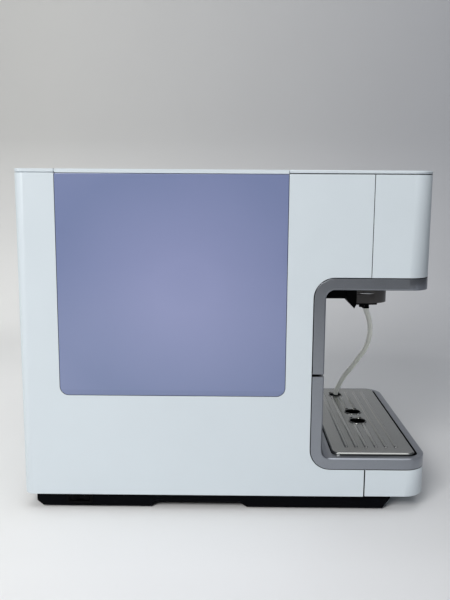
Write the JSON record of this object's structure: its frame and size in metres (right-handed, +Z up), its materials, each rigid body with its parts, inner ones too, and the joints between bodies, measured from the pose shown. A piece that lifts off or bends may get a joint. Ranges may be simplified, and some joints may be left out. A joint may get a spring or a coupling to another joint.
{
  "type": "automatic coffee machine",
  "caption": "Countertop bean-to-cup coffee machine: side water tank, open cup bay with a height-adjustable spout and milk hose, pull-out drip tray, hinged top lid and side service door.",
  "frame": {"origin": "middle of the case's footprint, on the surface that the machine stands on", "axes": "+Z up, the cup bay and tray face -Y, the water tank is on -X"},
  "size_m": [0.286, 0.455, 0.381],
  "materials": {
    "case_white": "satin moulded cover",
    "panel_tint": "high gloss tinted panel",
    "trim_grey": "moulded plastic with a fine metallic lacquer",
    "base_black": "fine grained",
    "black_plastic": "satin",
    "spout_grey": "satin",
    "rubber": "matt",
    "sheet_steel": "galvanised",
    "stainless": "satin brushed",
    "pin_steel": "ground",
    "display_black": "polished",
    "tank_clear": "clear moulded plastic",
    "tank_cover": "satin",
    "valve_blue": "satin",
    "smoked": "smoked",
    "motor_grey": "satin",
    "aluminium": "cast",
    "brass": "satin",
    "burr_steel": "ground",
    "natural_plastic": "natural",
    "pcb_green": "solder resist",
    "pcb_blue": "solder resist",
    "silicone": "translucent silicone"
  },
  "bodies": {
    "root": {"base_pan": "base_black", "rubber_feet": "rubber", "chassis": "sheet_steel", "left_side_panel": "case_white", "right_side_panel": "case_white", "rear_panel": "case_white", "rear_top_cover": "case_white", "front_top_cover": "case_white", "front_fascia": "case_white", "display_glass": "display_black", "display_module": "black_plastic", "control_board": "pcb_green", "upper_trim": "trim_grey", "bay_lining": "trim_grey", "spout_arm": "black_plastic", "spout_guide": "natural_plastic", "bean_hopper": "smoked", "hopper_funnel": "smoked", "hopper_lid": "smoked", "grinder_body": "aluminium", "upper_burr": "burr_steel", "grinder_motor": "motor_grey", "grounds_chute": "black_plastic", "brew_frame": "black_plastic", "brew_cylinder": "natural_plastic", "brew_motor": "motor_grey", "puck_chute": "black_plastic", "coffee_boiler": "aluminium", "steam_boiler": "brass", "water_pump": "motor_grey", "flow_meter": "natural_plastic", "tank_dock": "natural_plastic", "fan_frame": "black_plastic", "power_board": "pcb_blue", "power_inlet": "black_plastic", "switch_housing": "black_plastic", "panel_screws": "pin_steel", "lid_hinge_pins": "pin_steel", "door_hinge_pins": "pin_steel"},
    "lid": {"top_lid": "case_white"},
    "door": {"service_door": "panel_tint"},
    "tank": {"tank_panel": "panel_tint", "water_tank": "tank_clear", "tank_cap": "tank_cover", "tank_valve": "valve_blue"},
    "tray": {"tray_tub": "trim_grey", "tray_front_cover": "case_white", "grounds_container": "black_plastic"},
    "grid": {"drip_grid": "stainless"},
    "spout": {"spout_housing": "spout_grey", "spout_hood": "black_plastic", "spout_stem": "natural_plastic", "spout_nozzles": "black_plastic", "milk_barb": "black_plastic", "milk_hose": "silicone"},
    "rocker": {"rocker": "black_plastic"},
    "fan": {"fan_rotor": "black_plastic"},
    "burr": {"lower_burr": "burr_steel"},
    "spindle": {"brew_spindle": "pin_steel"},
    "piston": {"brew_piston": "natural_plastic"}
  },
  "joints": [
    {"name": "lid_hinge", "type": "hinge", "parent": "root", "child": "lid", "pos_m": [0, 0.1811, 0.3789], "axis": [-1, 0, 0], "range_deg": [0, 75]},
    {"name": "door_hinge", "type": "hinge", "parent": "root", "child": "door", "pos_m": [0.1409, 0.1811, 0.25], "axis": [0, 0, 1], "range_deg": [0, 90]},
    {"name": "tank_slide", "type": "slide", "parent": "root", "child": "tank", "axis": [-1, 0, 0], "range_m": [0, 0.09]},
    {"name": "tray_slide", "type": "slide", "parent": "root", "child": "tray", "axis": [0, -1, 0], "range_m": [0, 0.15]},
    {"name": "grid_lift", "type": "slide", "parent": "tray", "child": "grid", "axis": [0, 0, 1], "range_m": [0, 0.03]},
    {"name": "spout_height", "type": "slide", "parent": "root", "child": "spout", "axis": [0, 0, -1], "range_m": [0, 0.06], "deforming": ["milk_hose"]},
    {"name": "power_rocker", "type": "hinge", "parent": "root", "child": "rocker", "pos_m": [-0.131, 0.166, 0.0109], "axis": [0, 0, 1], "range_deg": [0, 14]},
    {"name": "fan_spin", "type": "hinge", "parent": "root", "child": "fan", "pos_m": [0.062, 0.212, 0.296], "axis": [0, 1, 0], "continuous": true},
    {"name": "burr_spin", "type": "hinge", "parent": "root", "child": "burr", "pos_m": [0, 0.014, 0.23], "axis": [0, 0, 1], "continuous": true},
    {"name": "spindle_spin", "type": "hinge", "parent": "root", "child": "spindle", "pos_m": [0.102, 0.042, 0.18], "axis": [0, 0, 1], "range_deg": [0, 1440]},
    {"name": "piston_slide", "type": "slide", "parent": "root", "child": "piston", "axis": [0, 0, 1], "range_m": [0, 0.026]}
  ],
  "couplings": [
    {"joint": "piston_slide", "follows": "spindle_spin", "m_per_rad": 0.0010345}
  ]
}
